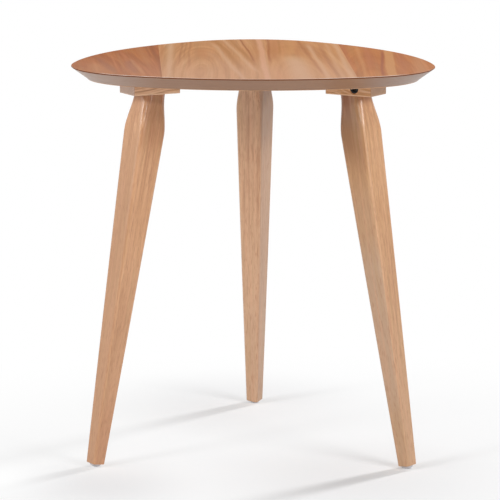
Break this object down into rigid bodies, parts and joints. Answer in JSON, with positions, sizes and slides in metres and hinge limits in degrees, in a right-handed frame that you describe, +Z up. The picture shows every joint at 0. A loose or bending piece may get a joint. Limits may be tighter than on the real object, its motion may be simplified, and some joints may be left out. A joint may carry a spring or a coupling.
{
  "type": "side table",
  "caption": "Small side table: rounded-triangle veneered top with an undercut edge, on splayed, shaped and tapered wooden legs under wooden mounting blocks.",
  "frame": {"origin": "on the floor, below the middle of the tabletop's bounding box", "axes": "+Z up, +X to the right and -Y to the front, where one long side of the top lies; one leg stands at the rear on +Y"},
  "size_m": [0.4954, 0.4896, 0.55],
  "materials": {
    "face_veneer_russet": "satin lacquer",
    "face_veneer_honey": "satin lacquer",
    "face_veneer_pale": "satin lacquer",
    "face_veneer_tan": "satin lacquer",
    "panel_edge": "smooth brown satin lacquer",
    "backing_veneer": "thin matt lacquer",
    "block_wood": "satin lacquer",
    "leg_wood": "satin lacquer",
    "dowel_wood": "bare",
    "black_steel": "black coated, satin",
    "bright_steel": "zinc plated",
    "glide_plastic": "pale grey, smooth"
  },
  "bodies": {
    "root": {"top_core": "panel_edge", "backing_veneer": "backing_veneer", "face_veneer_left": "face_veneer_russet", "face_veneer_mid_left": "face_veneer_honey", "face_veneer_mid_right": "face_veneer_pale", "face_veneer_right": "face_veneer_tan", "block_rear": "block_wood", "block_left": "block_wood", "block_right": "block_wood", "leg_rear": "leg_wood", "leg_left": "leg_wood", "leg_right": "leg_wood", "block_screw_rear_1": "bright_steel", "block_screw_rear_2": "bright_steel", "block_screw_rear_3": "bright_steel", "block_screw_rear_4": "bright_steel", "block_screw_left_1": "bright_steel", "block_screw_left_2": "bright_steel", "block_screw_left_3": "bright_steel", "block_screw_left_4": "bright_steel", "block_screw_right_1": "bright_steel", "block_screw_right_2": "bright_steel", "block_screw_right_3": "bright_steel", "block_screw_right_4": "bright_steel", "leg_stud_rear": "bright_steel", "leg_stud_left": "bright_steel", "leg_stud_right": "bright_steel", "leg_dowel_rear": "dowel_wood", "leg_dowel_left": "dowel_wood", "leg_dowel_right": "dowel_wood", "connector_barrel_rear": "black_steel", "connector_barrel_left": "black_steel", "connector_barrel_right": "black_steel", "socket_screw_rear": "black_steel", "socket_screw_left": "black_steel", "socket_screw_right": "black_steel", "glide_rear": "glide_plastic", "glide_left": "glide_plastic", "glide_right": "glide_plastic", "glide_nail_rear": "bright_steel", "glide_nail_left": "bright_steel", "glide_nail_right": "bright_steel"}
  },
  "joints": []
}
